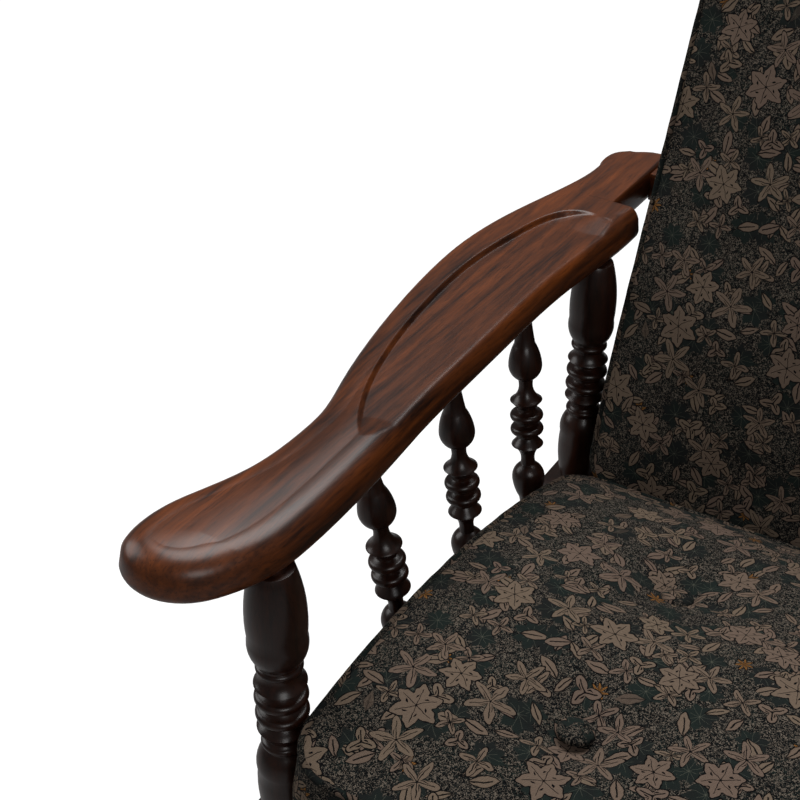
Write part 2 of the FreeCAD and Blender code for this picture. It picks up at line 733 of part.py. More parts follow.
for side, sign in SIDES:
    low_x = on_side(sign, post_inner_x, post_wide)
    stick = reclined_box(f"back_stick_{side}", (post_wide, post_deep, size("back_post_long")),
                         low_x, as_dim(0), as_dim(0))
    tools = [tongue_box(f"crest_mortise_{side}", sign, crest_low + 10, crest_end - 20, clear),
             tongue_box(f"low_mortise_{side}", sign, low_rail_low + 8,
                        size("low_rail_height") - 16, clear)]
    for name, y, z in (("arm", arm_bolt_y, arm_bolt_z), ("foot", post_bolt_y, post_bolt_z)):
        tools.append(cylinder(f"{name}_bolt_way_{side}", bolt_r + clear, 120,
                              (sign * post_outer_x - 60, y, z), "x"))
    y, z = reclined(size("back_post_long") - turning_tenon, post_deep / 2)
    finial_seat = cylinder(f"finial_seat_{side}", size("post_tenon_r") + clear,
                           turning_tenon * 2, (sign * (post_inner_x + post_wide / 2), y, z))
    finial_seat.Placement.Rotation = FreeCAD.Rotation(FreeCAD.Vector(1, 0, 0), -recline.number)
    tools.append(finial_seat)
    node(f"back_post_{side}", carve(f"back_post_{side}_bored", stick, tools))
    cap = size("finial_r")
    tall = size("finial_long")
    knob = turned(f"finial_turning_{side}", [
        (size("post_tenon_r"), -turning_tenon + 1, 0), (size("post_tenon_r"), as_dim(0), 0),
        (cap * 0.80, as_dim(0), -0.6), (cap * 0.80, tall * 0.14, 0),
        (cap * 0.50, tall * 0.20, 0.2), (cap * 0.62, tall * 0.34, -0.35),
        (cap, tall * 0.58, -0.35), (cap * 0.34, tall * 0.90, -0.5), (cap * 0.12, tall, 0)])
    y, z = reclined(size("back_post_long"), post_deep / 2)
    place(knob, (sign * (post_inner_x + post_wide / 2), y, z), (1, 0, 0), -recline)
    node(f"finial_{side}", knob)

# The crest rail is drawn in the plane of the back and stood up along the posts
crest_board = slab("crest_board", "XZ_Plane", [
    (-post_inner_x, crest_low, 0), (post_inner_x, crest_low, 0),
    (post_inner_x, crest_low + crest_end, -size("crest_rise").number / post_inner_x.number),
    (-post_inner_x, crest_low + crest_end, 0)], crest_thick)
y, z = reclined(as_dim(0), rail_across + crest_thick)
place(crest_board, (0, y, z), (1, 0, 0), -recline)
crest_tongues = [tongue_box(f"crest_tongue_{side}", sign, crest_low + 10, crest_end - 20)
                 for side, sign in SIDES]
low_board = reclined_box("low_board", (post_inner_x * 2, crest_thick, size("low_rail_height")),
                         -post_inner_x, low_rail_low, rail_across)
low_tongues = [tongue_box(f"low_tongue_{side}", sign, low_rail_low + 8,
                          size("low_rail_height") - 16) for side, sign in SIDES]

BACK_SLATS = 5
slat_wide = size("back_slat_wide")
slat_deep = size("back_slat_thick")
slat_bury = 10
slat_across = rail_across + (crest_thick - slat_deep) / 2


def back_slat_box(name, index, grow=0):
    """One upright slat, or the room for its ends when grown."""
    pitch = post_inner_x * 2 / (BACK_SLATS + 1)
    centre = pitch * (index + 1) - post_inner_x
    low = low_rail_high - slat_bury - grow
    tall = crest_low - low_rail_high + (slat_bury + as_dim(grow)) * 2
    return reclined_box(name, (slat_wide + as_dim(grow) * 2, slat_deep + as_dim(grow) * 2, tall),
                        centre - slat_wide / 2 - grow, low, slat_across - grow)


for label, board, tongues in (("crest_rail", crest_board, crest_tongues),
                              ("lower_back_rail", low_board, low_tongues)):
    whole = join(f"{label}_whole", [board] + tongues)
    slots = [back_slat_box(f"{label}_slot_{index}", index, clear) for index in range(BACK_SLATS)]
    node(label, carve(f"{label}_slotted", whole, slots))
for index in range(BACK_SLATS):
    node(f"back_slat_{index + 1}", back_slat_box(f"back_slat_board_{index}", index))

# ---- Bolts ------------------------------------------------------------------------------------


def bolt(name, sign, start_x, length, y, z):
    """A bolt along X with its round head outside."""
    low_x = start_x - length if sign > 0 else -start_x
    shank = cylinder(f"{name}_shank", bolt_r, length, (low_x, y, z), "x")
    head_x = start_x if sign > 0 else -start_x - size("bolt_head_long")
    head = cylinder(f"{name}_head", size("bolt_head_r"), size("bolt_head_long"),
                    (head_x, y, z), "x")
    return join(f"{name}_{'right' if sign > 0 else 'left'}", [shank, head])


for label, start_x, reach, y, z in (
        ("arm_bolt", arm_head_x, arm_head_x - post_inner_x - 4, arm_bolt_y, arm_bolt_z),
        ("back_foot_bolt", row_x + block_side / 2, block_side + post_wide - 4,
         post_bolt_y, post_bolt_z)):
    for side, sign in SIDES:
        node(f"{label}_{side}", bolt(f"{label}_{side}_piece", sign, start_x, reach, y, z))

# ---- Cushions ---------------------------------------------------------------------------------
gap = size("cushion_gap")
half_wide = size("cushion_half_wide")
round_r = size("cushion_round")


def soften(body, base, radius):
    """Round every edge of a cushion's block."""
    doc.recompute()
    rounding = body.newObject("PartDesign::Fillet", f"{body.Name}_round")
    rounding.Base = (base, [f"Edge{index + 1}" for index in range(len(base.Shape.Edges))])
    bind(rounding, Radius=radius)
    return body


# The seat cushion is drawn along the pitched slats, with a crowned top
seat_front = -size("seat_cushion_overhang")
seat_back = seat_front + size("seat_cushion_deep")
seat_edge = size("seat_cushion_edge")
crown_bulge = size("seat_cushion_crown").number * 2 / size("seat_cushion_deep").number
seat_pad = slab("seat_pad", "YZ_Plane", [
    (seat_front, gap, 0), (seat_back, gap, 0), (seat_back, seat_edge, -crown_bulge),
    (seat_front, seat_edge, 0)], half_wide * 2, True)
place(seat_pad, (0, seat_origin_y, seat_origin_z), (1, 0, 0), -seat_pitch)
soften(seat_pad, seat_pad.Tip, round_r)

button_r = size("button_r")
button_thick = size("button_thick")
crown_r = (seat_back - seat_front) / 2 * ((1 + crown_bulge * crown_bulge) / (2 * crown_bulge))
crown_middle = (seat_front + seat_back) / 2
wells = []
buttons = []
for side, sign in SIDES:
    for turn in range(2):
        along = seat_front + size("button_first") + size("button_pitch") * turn
        reach = along - crown_middle
        top = (seat_edge + size("seat_cushion_crown") - crown_r
               + root(crown_r * crown_r - reach * reach))
        floor = top - size("button_well_deep")
        for things, name, radius, tall, above in (
                (wells, "well", size("button_well_r"), as_dim(40), floor),
                (buttons, "button", button_r, button_thick, floor + 0.05)):
            y, z = pitched(along, above)
            disc = cylinder(f"{name}_{side}_{turn}", radius, tall,
                            (sign * size("button_x"), y, z))
            disc.Placement.Rotation = FreeCAD.Rotation(FreeCAD.Vector(1, 0, 0),
                                                       -seat_pitch.number)
            things.append(disc)
node("seat_cushion", carve("seat_cushion_welled", seat_pad, wells))
tufts = doc.addObject("Part::Compound", "tufts")
tufts.Links = buttons
node("seat_buttons", tufts)

# The back cushion leans on the posts
back_thick = size("back_cushion_thick")
back_long = size("back_cushion_long")
back_pad = slab("back_pad", "YZ_Plane", [
    (-back_thick, as_dim(0), 0), (as_dim(0), as_dim(0), 0), (as_dim(0), back_long, 0),
    (-back_thick, back_long, 0)], half_wide * 2, True)
back_lift = (rail_top + gap - back_foot_z) / cosine(recline)
y, z = reclined(back_lift, -gap)
place(back_pad, (0, y, z), (1, 0, 0), -recline)
node("back_cushion", soften(back_pad, back_pad.Tip, round_r))

# ---- Check and write --------------------------------------------------------------------------
doc.recompute()
for thing in doc.Objects:
    if "Invalid" in thing.State or "Error" in thing.State:
        raise RuntimeError(f"{thing.Name} failed: {thing.State}")
for piece in nodes:
    shape = piece.Shape
    if shape.isNull() or not shape.isValid():
        raise RuntimeError(f"{piece.Label} has no valid shape")
    print(f"{piece.Label:24s} solids {len(shape.Solids)} volume {shape.Volume:12.1f}")

os.makedirs("parts", exist_ok=True)
for piece in nodes:
    piece.Shape.exportStep(os.path.join("parts", f"{piece.Label}.step"))
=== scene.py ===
import math

import bmesh
import bpy
import numpy as np
from mathutils import Matrix, Vector
from mathutils.noise import fractal, noise


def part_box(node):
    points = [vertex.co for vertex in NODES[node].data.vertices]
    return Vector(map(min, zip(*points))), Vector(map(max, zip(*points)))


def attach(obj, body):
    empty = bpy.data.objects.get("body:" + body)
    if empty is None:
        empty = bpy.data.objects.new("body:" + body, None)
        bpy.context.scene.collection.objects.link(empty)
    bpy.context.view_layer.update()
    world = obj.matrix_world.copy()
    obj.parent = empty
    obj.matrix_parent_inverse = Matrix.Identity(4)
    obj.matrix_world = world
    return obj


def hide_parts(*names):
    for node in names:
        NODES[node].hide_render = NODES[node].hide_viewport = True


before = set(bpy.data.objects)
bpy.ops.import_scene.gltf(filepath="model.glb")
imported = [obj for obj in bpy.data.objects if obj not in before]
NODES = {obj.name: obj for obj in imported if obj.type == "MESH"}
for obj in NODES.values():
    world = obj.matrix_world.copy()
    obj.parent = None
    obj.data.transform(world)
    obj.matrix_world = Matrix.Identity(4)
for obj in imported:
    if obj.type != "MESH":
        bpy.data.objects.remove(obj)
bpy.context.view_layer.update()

MM = 0.001
SIDES = ("left", "right")


# ---- Small helpers ----------------------------------------------------------------------------


def piece(name, mesh, material, slot_name, *stands_for):
    """A finished mesh as a piece of the chair, riding on its one body."""
    made = bpy.data.objects.new(name, mesh)
    bpy.context.scene.collection.objects.link(made)
    made.data.materials.clear()
    made.data.materials.append(material)
    for polygon in made.data.polygons:
        polygon.use_smooth = True
    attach(made, "root")
    if stands_for:
        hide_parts(*stands_for)
    return made


def mesh_from(name, points, faces):
    mesh = bpy.data.meshes.new(name)
    mesh.from_pydata([tuple(p) for p in points], [], faces)
    mesh.update()
    return mesh


def applied(thing):
    """Carry an object's modifiers out on its mesh, for good."""
    graph = bpy.context.evaluated_depsgraph_get()
    graph.update()
    mesh = bpy.data.meshes.new_from_object(thing.evaluated_get(graph))
    old = thing.data
    thing.modifiers.clear()
    thing.data = mesh
    bpy.data.meshes.remove(old)


def merge_points(mesh, distance):
    edit = bmesh.new()
    edit.from_mesh(mesh)
    bmesh.ops.remove_doubles(edit, verts=edit.verts, dist=distance)
    edit.to_mesh(mesh)
    edit.free()


def faces_between(rings, around, start=0):
    """Four-sided faces between each closed ring of points and the next."""
    faces = []
    for ring in range(rings - 1):
        base = start + ring * around
        for step in range(around):
            after = (step + 1) % around
            faces.append((base + step, base + after, base + around + after,
                          base + around + step))
    return faces


def smooth_step(low, high, value):
    share = np.clip((value - low) / (high - low), 0.0, 1.0)
    return share * share * (3 - 2 * share)


# ---- Shader arithmetic ------------------------------------------------------------------------


class Field:
    """A number that varies over the surface, as a socket of a material's node tree."""

    def __init__(self, tree, socket):
        self.tree = tree
        self.socket = socket

    def math(self, operation, *others, clamp=False):
        node = self.tree.nodes.new("ShaderNodeMath")
        node.operation = operation
        node.use_clamp = clamp
        self.tree.links.new(self.socket, node.inputs[0])
        for index, other in enumerate(others, start=1):
            if isinstance(other, Field):
                self.tree.links.new(other.socket, node.inputs[index])
            else:
                node.inputs[index].default_value = other
        return Field(self.tree, node.outputs[0])

    def __add__(self, other):
        return self.math("ADD", other)

    def __sub__(self, other):
        return self.math("SUBTRACT", other)

    def __mul__(self, other):
        return self.math("MULTIPLY", other)

    def __truediv__(self, other):
        return self.math("DIVIDE", other)

    def sin(self):
        return self.math("SINE")

    def cos(self):
        return self.math("COSINE")

    def size(self):
        return self.math("ABSOLUTE")

    def clamped(self):
        """The field kept between 0 and 1."""
        return self.math("ADD", 0.0, clamp=True)

    def under(self, limit, soft):
        """1 well under the limit and 0 well over it, with a slope as wide as soft between."""
        gap = (self - limit) / soft
        return (gap * -1 + 0.5).clamped()


def new_material(name):
    material = bpy.data.materials.new(name)
    material.use_nodes = True
    tree = material.node_tree
    shader = tree.nodes["Principled BSDF"]
    return material, tree, shader


def put(tree, source, target):
    tree.links.new(source.socket if isinstance(source, Field) else source, target)


def texture(tree, kind, vector, **settings):
    node = tree.nodes.new(kind)
    for name, value in settings.items():
        if hasattr(node, name):
            setattr(node, name, value)
        else:
            node.inputs[name.replace("_", " ").title()].default_value = value
    tree.links.new(vector, node.inputs["Vector"])
    return node


def mix_colour(tree, share, first, second):
    node = tree.nodes.new("ShaderNodeMix")
    node.data_type = "RGBA"
    put(tree, share, node.inputs["Factor"])
    for socket, colour in ((node.inputs[6], first), (node.inputs[7], second)):
        if isinstance(colour, tuple):
            socket.default_value = (*colour, 1)
        else:
            tree.links.new(colour, socket)
    return node.outputs[2]


def bump(tree, shader, field, strength, distance):
    node = tree.nodes.new("ShaderNodeBump")
    node.inputs["Strength"].default_value = strength
    node.inputs["Distance"].default_value = distance
    put(tree, field, node.inputs["Height"])
    tree.links.new(node.outputs["Normal"], shader.inputs["Normal"])


def object_point(tree):
    return tree.nodes.new("ShaderNodeTexCoord").outputs["Object"]


# ---- Wood -------------------------------------------------------------------------------------

FINE = 14                    # how much finer the grain is across its run than along it
LONG_WAYS = {"x": (1, FINE, FINE), "y": (FINE, 1, FINE), "z": (FINE, FINE, 1)}
CLOUD_SCALE = 3.2            # noise scales of the broad figure, the streaks and the pores
STREAK_SCALE = 16.0
PORE_SCALE = 70.0
CLOUD_SHARE = 0.62           # how much of the tone the broad figure makes; streaks make the rest
CONTRAST = 3.4


def wood(name, along, deep, pale, gloss, coat, figure=1.0):
    """Wood with its grain along one axis, between two tones, under a varnish coat."""
    material, tree, shader = new_material(name)
    stretch = tree.nodes.new("ShaderNodeMapping")
    stretch.vector_type = "POINT"
    stretch.inputs["Scale"].default_value = LONG_WAYS[along]
    tree.links.new(object_point(tree), stretch.inputs["Vector"])
    grain_way = stretch.outputs["Vector"]
    cloud = texture(tree, "ShaderNodeTexNoise", grain_way, scale=CLOUD_SCALE * figure, detail=5.0,
                    roughness=0.62, distortion=1.3)
    streak = texture(tree, "ShaderNodeTexNoise", grain_way, scale=STREAK_SCALE * figure, detail=7.0,
                     roughness=0.7, distortion=0.5)
    pores = texture(tree, "ShaderNodeTexNoise", grain_way, scale=PORE_SCALE, detail=3.0,
                    roughness=0.6)
    streaks = Field(tree, streak.outputs["Fac"])
    pits = Field(tree, pores.outputs["Fac"])
    tone = Field(tree, cloud.outputs["Fac"]) * CLOUD_SHARE + streaks * (1 - CLOUD_SHARE)
    spread = ((tone - 0.5) * CONTRAST + 0.5).clamped()
    colour = mix_colour(tree, spread, deep, pale)
    pore = pits.under(0.40, 0.10) * 0.45
    dark = tuple(channel * 0.35 for channel in deep)
    colour = mix_colour(tree, pore, colour, dark)
    tree.links.new(colour, shader.inputs["Base Color"])
    rough = streaks * 0.12 + (gloss - 0.06)
    put(tree, rough, shader.inputs["Roughness"])
    shader.inputs["Specular IOR Level"].default_value = 0.36
    shader.inputs["Coat Weight"].default_value = coat
    shader.inputs["Coat Roughness"].default_value = 0.24
    bump(tree, shader, pits * 0.25 + streaks * 0.75, 0.10, 0.0006)
    return material


STAIN_DEEP = (0.0130, 0.0036, 0.0016)
STAIN_PALE = (0.1750, 0.0420, 0.0065)
TURNED_DEEP = (0.0070, 0.0028, 0.0020)
TURNED_PALE = (0.0330, 0.0088, 0.0036)
PLAIN_DEEP = (0.160, 0.080, 0.036)
PLAIN_PALE = (0.360, 0.205, 0.105)
STAINED = {axis: wood(f"stained_wood_{axis}", axis, STAIN_DEEP, STAIN_PALE, 0.35, 0.20)
           for axis in "xyz"}
TURNED = {axis: wood(f"turned_wood_{axis}", axis, TURNED_DEEP, TURNED_PALE, 0.30, 0.2, 1.6)
          for axis in "xyz"}
PLAIN = {axis: wood(f"plain_wood_{axis}", axis, PLAIN_DEEP, PLAIN_PALE, 0.62, 0.0)
         for axis in "xyz"}


def steel():
    material, tree, shader = new_material("bronzed_steel")
    scratch = texture(tree, "ShaderNodeTexNoise", object_point(tree), scale=900.0, detail=4.0)
    tone = mix_colour(tree, Field(tree, scratch.outputs["Fac"]), (0.055, 0.040, 0.030),
                      (0.150, 0.110, 0.080))
    tree.links.new(tone, shader.inputs["Base Color"])
    shader.inputs["Metallic"].default_value = 1.0
    shader.inputs["Roughness"].default_value = 0.38
    bump(tree, shader, Field(tree, scratch.outputs["Fac"]), 0.15, 0.0002)
    return material


# ---- Flowered cloth ---------------------------------------------------------------------------

GROUND = (0.0135, 0.0150, 0.0145)
GROUND_GREEN = (0.0135, 0.0190, 0.0170)
BLACK = (0.0040, 0.0040, 0.0045)
TAUPE = (0.150, 0.112, 0.080)
TAUPE_ROSE = (0.138, 0.098, 0.076)
SPECK = (0.150, 0.124, 0.098)
SPRIG = (0.095, 0.098, 0.075)
OCHRE = (0.200, 0.092, 0.028)


class Scatter:
    """One motif repeated at random places over the cloth, each at its own turn and size."""

    def __init__(self, tree, across, down, spacing, jitter, shift):
        self.tree = tree
        place = tree.nodes.new("ShaderNodeCombineXYZ")
        put(tree, across + shift, place.inputs["X"])
        put(tree, down + shift * 1.7, place.inputs["Y"])
        cells = texture(tree, "ShaderNodeTexVoronoi", place.outputs[0],
                        voronoi_dimensions="2D", feature="F1", scale=1 / spacing,
                        randomness=jitter)
        offset = tree.nodes.new("ShaderNodeVectorMath")
        offset.operation = "SUBTRACT"
        tree.links.new(place.outputs[0], offset.inputs[0])
        tree.links.new(cells.outputs["Position"], offset.inputs[1])
        parts = tree.nodes.new("ShaderNodeSeparateXYZ")
        tree.links.new(offset.outputs[0], parts.inputs[0])
        chance = tree.nodes.new("ShaderNodeSeparateColor")
        tree.links.new(cells.outputs["Color"], chance.inputs[0])
        self.turn = Field(tree, chance.outputs[0])
        self.luck = Field(tree, chance.outputs[1])
        self.shade = Field(tree, chance.outputs[2])
        x = Field(tree, parts.outputs[0])
        y = Field(tree, parts.outputs[1])
        self.reach = (x * x + y * y).math("SQRT")
        self.angle = y.math("ARCTAN2", x) + self.turn * math.tau
        self.x = self.reach * self.angle.cos()
        self.y = self.reach * self.angle.sin()

    def petals(self, count, radius, notch, soft=0.3):
        """A flower's filled petals, the dark veins and heart on them, and their dark rim."""
        ripple = (self.angle * (count * 3)).cos() * 0.035
        lobes = (self.angle * count).cos() * notch + (1 - notch)
        limit = (lobes + ripple) * radius * (self.luck * 0.35 + 0.82)
        fill = (self.reach - limit).under(0.0, soft)
        rim = (self.reach - limit).under(1.0, soft)
        vein = ((self.angle * (count / 2)).sin().size() * self.reach).under(0.62, 0.3)
        inside = (self.reach - limit * 0.78).under(0.0, 0.5)
        fold = ((self.reach - limit * 0.55).size() + (self.angle * (count * 2)).cos() * 0.5)
        side_vein = fold.under(0.28, 0.2) * (self.angle * count + 1.2).cos().under(0.1, 0.3)
        heart = self.reach.under(0.8, 0.5)
        dark = (vein * inside).math("MAXIMUM", heart).math("MAXIMUM", side_vein)
        return fill, dark, rim

    def leaf(self, length, width, soft=0.3):
        """A pointed leaf with a vein along its middle."""
        share = self.x / length
        belly = (share * share * -1 + 1) * width
        fill = (self.y.size() - belly).under(0.0, soft)
        rim = (self.y.size() - belly).under(0.7, soft) * self.x.size().under(length + 1, 0.5)
        vein = self.y.size().under(0.42, 0.25) * self.x.under(length * 0.55, 0.5)
        return fill, vein, rim

    def rays(self, count, radius, thick):
        """Thin rays about a point, each its own length."""
        line = ((self.angle * (count / 2)).sin().size() * self.reach).under(thick, 0.25)
        limit = ((self.angle * 3 + self.luck * 9).sin() * 0.22 + 0.78) * radius
        return line * (self.reach - limit).under(0.0, 0.4)


def floral_cloth(name, shade=1.0):
    """Jacquard cloth: a stippled dark ground under taupe flowers, leaves and thin sprigs. A shade
    under 1 darkens it all, as painted shade.
    """
    material, tree, shader = new_material(name)
    cloth_map = tree.nodes.new("ShaderNodeUVMap")
    cloth_map.uv_map = "cloth"
    warp = texture(tree, "ShaderNodeTexNoise", cloth_map.outputs[0], scale=130.0, detail=2.0)
    parts = tree.nodes.new("ShaderNodeSeparateXYZ")
    tree.links.new(cloth_map.outputs[0], parts.inputs[0])
    wobble = tree.nodes.new("ShaderNodeSeparateColor")
    tree.links.new(warp.outputs["Color"], wobble.inputs[0])
    across = Field(tree, parts.outputs[0]) * 1000 + (Field(tree, wobble.outputs[0]) - 0.5) * 3.0
    down = Field(tree, parts.outputs[1]) * 1000 + (Field(tree, wobble.outputs[1]) - 0.5) * 3.0
    flat = tree.nodes.new("ShaderNodeCombineXYZ")
    put(tree, across, flat.inputs[0])
    put(tree, down, flat.inputs[1])

    patch = texture(tree, "ShaderNodeTexNoise", flat.outputs[0], scale=0.045, detail=1.5)
    colour = mix_colour(tree, (Field(tree, patch.outputs["Fac"]) - 0.40) * 5.0, GROUND,
                        GROUND_GREEN)
    # stipple: short bent specks, pale and black, that leave dark pools bare
    speck = texture(tree, "ShaderNodeTexNoise", flat.outputs[0], scale=0.68, detail=1.5,
                    roughness=0.55, distortion=1.8)
    curl = texture(tree, "ShaderNodeTexNoise", flat.outputs[0], scale=0.55, detail=1.0,
                   distortion=2.4)
    pools = Scatter(tree, across, down, 29.0, 0.85, 211.0)
    bare, _, _ = pools.petals(7, 10.5, 0.14, 1.2)
    open_ground = bare * -1 + 1
    black = Field(tree, curl.outputs["Fac"]).under(0.53, 0.04) * open_ground
    colour = mix_colour(tree, black, colour, BLACK)
    pale = (Field(tree, speck.outputs["Fac"]) * -1).under(-0.56, 0.03) * open_ground
    colour = mix_colour(tree, pale * 0.85, colour, SPECK)

    sprigs = pools.rays(9, 9.5, 0.34)
    colour = mix_colour(tree, sprigs * 0.85, colour, SPRIG)
    stars = Scatter(tree, across, down, 83.0, 0.85, 57.0)
    star, star_dark, star_rim = stars.petals(7, 5.5, 0.42)
    colour = mix_colour(tree, star_rim, colour, BLACK)
    colour = mix_colour(tree, star * (star_dark * -0.6 + 1), colour, OCHRE)

    raised = star
    # kind, spacing and looseness of its places, shift, and its own count or sizes in mm
    layers = (
        ("leaf", 24.0, 0.9, 401.0, (7.0, 2.6)),
        ("leaf", 27.0, 0.9, 157.0, (8.5, 3.3)), ("flower", 37.0, 0.8, 929.0, (4, 9.0, 0.46)),
        ("flower", 45.0, 0.75, 83.0, (3, 8.5, 0.36)),
        ("flower", 50.0, 0.75, 523.0, (5, 13.0, 0.42)),
        ("flower", 60.0, 0.78, 631.0, (6, 13.0, 0.18)),
    )
    for kind, spacing, jitter, shift, shape in layers:
        motif = Scatter(tree, across, down, spacing, jitter, shift)
        fill, dark, rim = motif.leaf(*shape) if kind == "leaf" else motif.petals(*shape)
        if kind == "leaf":
            chosen = motif.luck.under(0.66, 0.02)
            fill = fill * chosen
            rim = rim * chosen
        colour = mix_colour(tree, rim, colour, BLACK)
        tint = mix_colour(tree, motif.shade, TAUPE, TAUPE_ROSE)
        colour = mix_colour(tree, fill, colour, tint)
        colour = mix_colour(tree, fill * dark, colour, BLACK)
        raised = raised.math("MAXIMUM", fill * (dark * -1 + 1))

    # the threads: a fine twill, a little uneven
    thread = ((across * 4.4 + down * 2.1).sin() * (down * 4.9).sin()) * 0.5 + 0.5
    uneven = texture(tree, "ShaderNodeTexNoise", flat.outputs[0], scale=0.9, detail=3.0)
    lit = thread * 0.22 + Field(tree, uneven.outputs["Fac"]) * 0.40 + 0.69
    tinted = tree.nodes.new("ShaderNodeVectorMath")
    tinted.operation = "SCALE"
    tree.links.new(colour, tinted.inputs[0])
    # a shade under 1 scales the whole colour down: painted shade
    put(tree, lit * shade, tinted.inputs["Scale"])
    tree.links.new(tinted.outputs[0], shader.inputs["Base Color"])
    shader.inputs["Roughness"].default_value = 0.92
    shader.inputs["Specular IOR Level"].default_value = 0.03
    shader.inputs["Sheen Weight"].default_value = 0.01
    shader.inputs["Sheen Roughness"].default_value = 0.5
    relief = thread * 0.35 + raised * 0.5 + Field(tree, uneven.outputs["Fac"]) * 0.3
    bump(tree, shader, relief, 0.35, 0.0005)
    return material


CLOTH = floral_cloth("floral_cloth")
# the seam folds' cloth at 0.7 of the cloth's brightness: painted shade along the seams
SHADED_PIPING = floral_cloth("floral_piping_painted_shade", 0.7)
STEEL = steel()


# ---- Camera, light and floor ------------------------------------------------------------------


def look_from(point, turn, down, focal):
    """A camera that stands at a point, turned left of the chair's back and tilted down."""
    data = bpy.data.cameras.new("camera")
    data.lens = focal
    data.clip_start = 0.01
    camera = bpy.data.objects.new("camera", data)
    bpy.context.scene.collection.objects.link(camera)
    right = Vector((math.cos(turn), math.sin(turn), 0))
    ahead = Vector((-math.sin(turn) * math.cos(down), math.cos(turn) * math.cos(down),
                    -math.sin(down)))
    up = right.cross(ahead)
    camera.matrix_world = Matrix((right, up, -ahead)).transposed().to_4x4()
    camera.location = point
    bpy.context.scene.camera = camera


LEG_LOW, LEG_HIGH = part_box("front_leg_left")
_, RAIL_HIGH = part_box("side_rail_left")
# measured from the front leg's axis at the height of the side rail's top
CAMERA_FROM_POST = Vector((0.341, -0.418, 0.671))
POST_FOOT = Vector(((LEG_LOW.x + LEG_HIGH.x) / 2, (LEG_LOW.y + LEG_HIGH.y) / 2, RAIL_HIGH.z))
look_from(POST_FOOT + CAMERA_FROM_POST, turn=math.radians(31.96), down=math.radians(33.87),
          focal=59.4)


def area_light(name, point, aim, size, watts):
    data = bpy.data.lights.new(name, "AREA")
    data.shape = "RECTANGLE"
    data.size, data.size_y = size
    data.energy = watts
    lamp = bpy.data.objects.new(name, data)
    bpy.context.scene.collection.objects.link(lamp)
    lamp.location = point
    lamp.rotation_euler = (Vector(aim) - Vector(point)).to_track_quat("-Z", "Y").to_euler()


FLOOR_REACH = 12.0           # half the floor's width, in metres


def seen_directly(tree):
    """1 where the camera sees a surface itself or through glass, and 0 for all other light."""
    path = tree.nodes.new("ShaderNodeLightPath")
    direct = Field(tree, path.outputs["Is Camera Ray"])
    return direct.math("MAXIMUM", Field(tree, path.outputs["Is Transmission Ray"]))


def pale_stage():
    """A wide pale floor and a matching sky, white to the camera and dim in reflections."""
    world = bpy.data.worlds.new("studio")
    world.use_nodes = True
    bpy.context.scene.world = world
    tree = world.node_tree
    sky = tree.nodes["Background"]
    sky.inputs["Color"].default_value = (1, 1, 1, 1)
    put(tree, seen_directly(tree) * 0.88 + 0.12, sky.inputs["Strength"])

    material, tree, shader = new_material("pale_floor")
    shader.inputs["Base Color"].default_value = (0.34, 0.34, 0.34, 1)
    shader.inputs["Roughness"].default_value = 0.9
    shader.inputs["Emission Color"].default_value = (1, 1, 1, 1)
    # whiter with distance, so that the floor runs into the sky with no line
    spot = tree.nodes.new("ShaderNodeVectorMath")
    spot.operation = "LENGTH"
    tree.links.new(object_point(tree), spot.inputs[0])
    far = ((Field(tree, spot.outputs["Value"]) - 1.2) / 3.0).clamped()
    put(tree, seen_directly(tree) * (far * 0.22 + 0.80), shader.inputs["Emission Strength"])
    corners = [(x * FLOOR_REACH, y * FLOOR_REACH, 0)
               for x, y in ((-1, -1), (1, -1), (1, 1), (-1, 1))]
    floor = bpy.data.objects.new("floor", mesh_from("floor", corners, [(0, 1, 2, 3)]))
    floor.data.materials.append(material)
    bpy.context.scene.collection.objects.link(floor)
    floor.location.z = -0.5 * MM


pale_stage()
area_light("overhead", point=(-0.5, 0.7, 2.7), aim=(0, 0, 0.5), size=(2.2, 1.5), watts=57)
area_light("key", point=(1.5, -1.9, 2.2), aim=(-0.1, 0, 0.5), size=(1.2, 1.2), watts=17)
area_light("side", point=(-2.4, -0.6, 1.6), aim=(0, 0, 0.5), size=(1.2, 1.6), watts=16)
bpy.context.scene.view_settings.view_transform = "Standard"


# ---- Arms -------------------------------------------------------------------------------------


def flat_loops(mesh, height, facing):
    """The closed outlines, in plan, of the level faces at a height, longest first."""
    def key(index):
        co = mesh.vertices[index].co
        return round(co.x, 6), round(co.y, 6)

    edges = {}
    for polygon in mesh.polygons:
        if polygon.normal.z * facing < 0.99 or abs(polygon.center.z - height) > 2e-5:
            continue
        ring = [key(index) for index in polygon.vertices]
        for start, stop in zip(ring, ring[1:] + ring[:1]):
            if (stop, start) in edges:
                del edges[(stop, start)]
            else:
                edges[(start, stop)] = True
    follow = dict(edges.keys())
    loops = []
    while follow:
        start, at = follow.popitem()
        loop = [start]
        while at != start and at in follow:
            loop.append(at)
            at = follow.pop(at)
        loops.append(np.array(loop))
    loops.sort(key=lambda loop: -np.linalg.norm(np.diff(loop, axis=0), axis=1).sum())
    return loops


def evenly(loop, step):
    """The same closed outline with points a step apart."""
    closed = np.vstack([loop, loop[:1]])
    lengths = np.linalg.norm(np.diff(closed, axis=0), axis=1)
    along = np.concatenate([[0], np.cumsum(lengths)])
    stations = np.linspace(0, along[-1], int(along[-1] / step), endpoint=False)
    return np.stack([np.interp(stations, along, closed[:, axis]) for axis in (0, 1)], 1)


def inside(points, loop):
    """Which points lie inside a closed outline."""
    result = np.zeros(len(points), bool)
    for start, stop in zip(loop, np.roll(loop, -1, axis=0)):
        spans = (start[1] > points[:, 1]) != (stop[1] > points[:, 1])
        with np.errstate(divide="ignore", invalid="ignore"):
            cross = (stop[0] - start[0]) * (points[:, 1] - start[1]) / (stop[1] - start[1])
        result ^= spans & (points[:, 0] < cross + start[0])
    return result


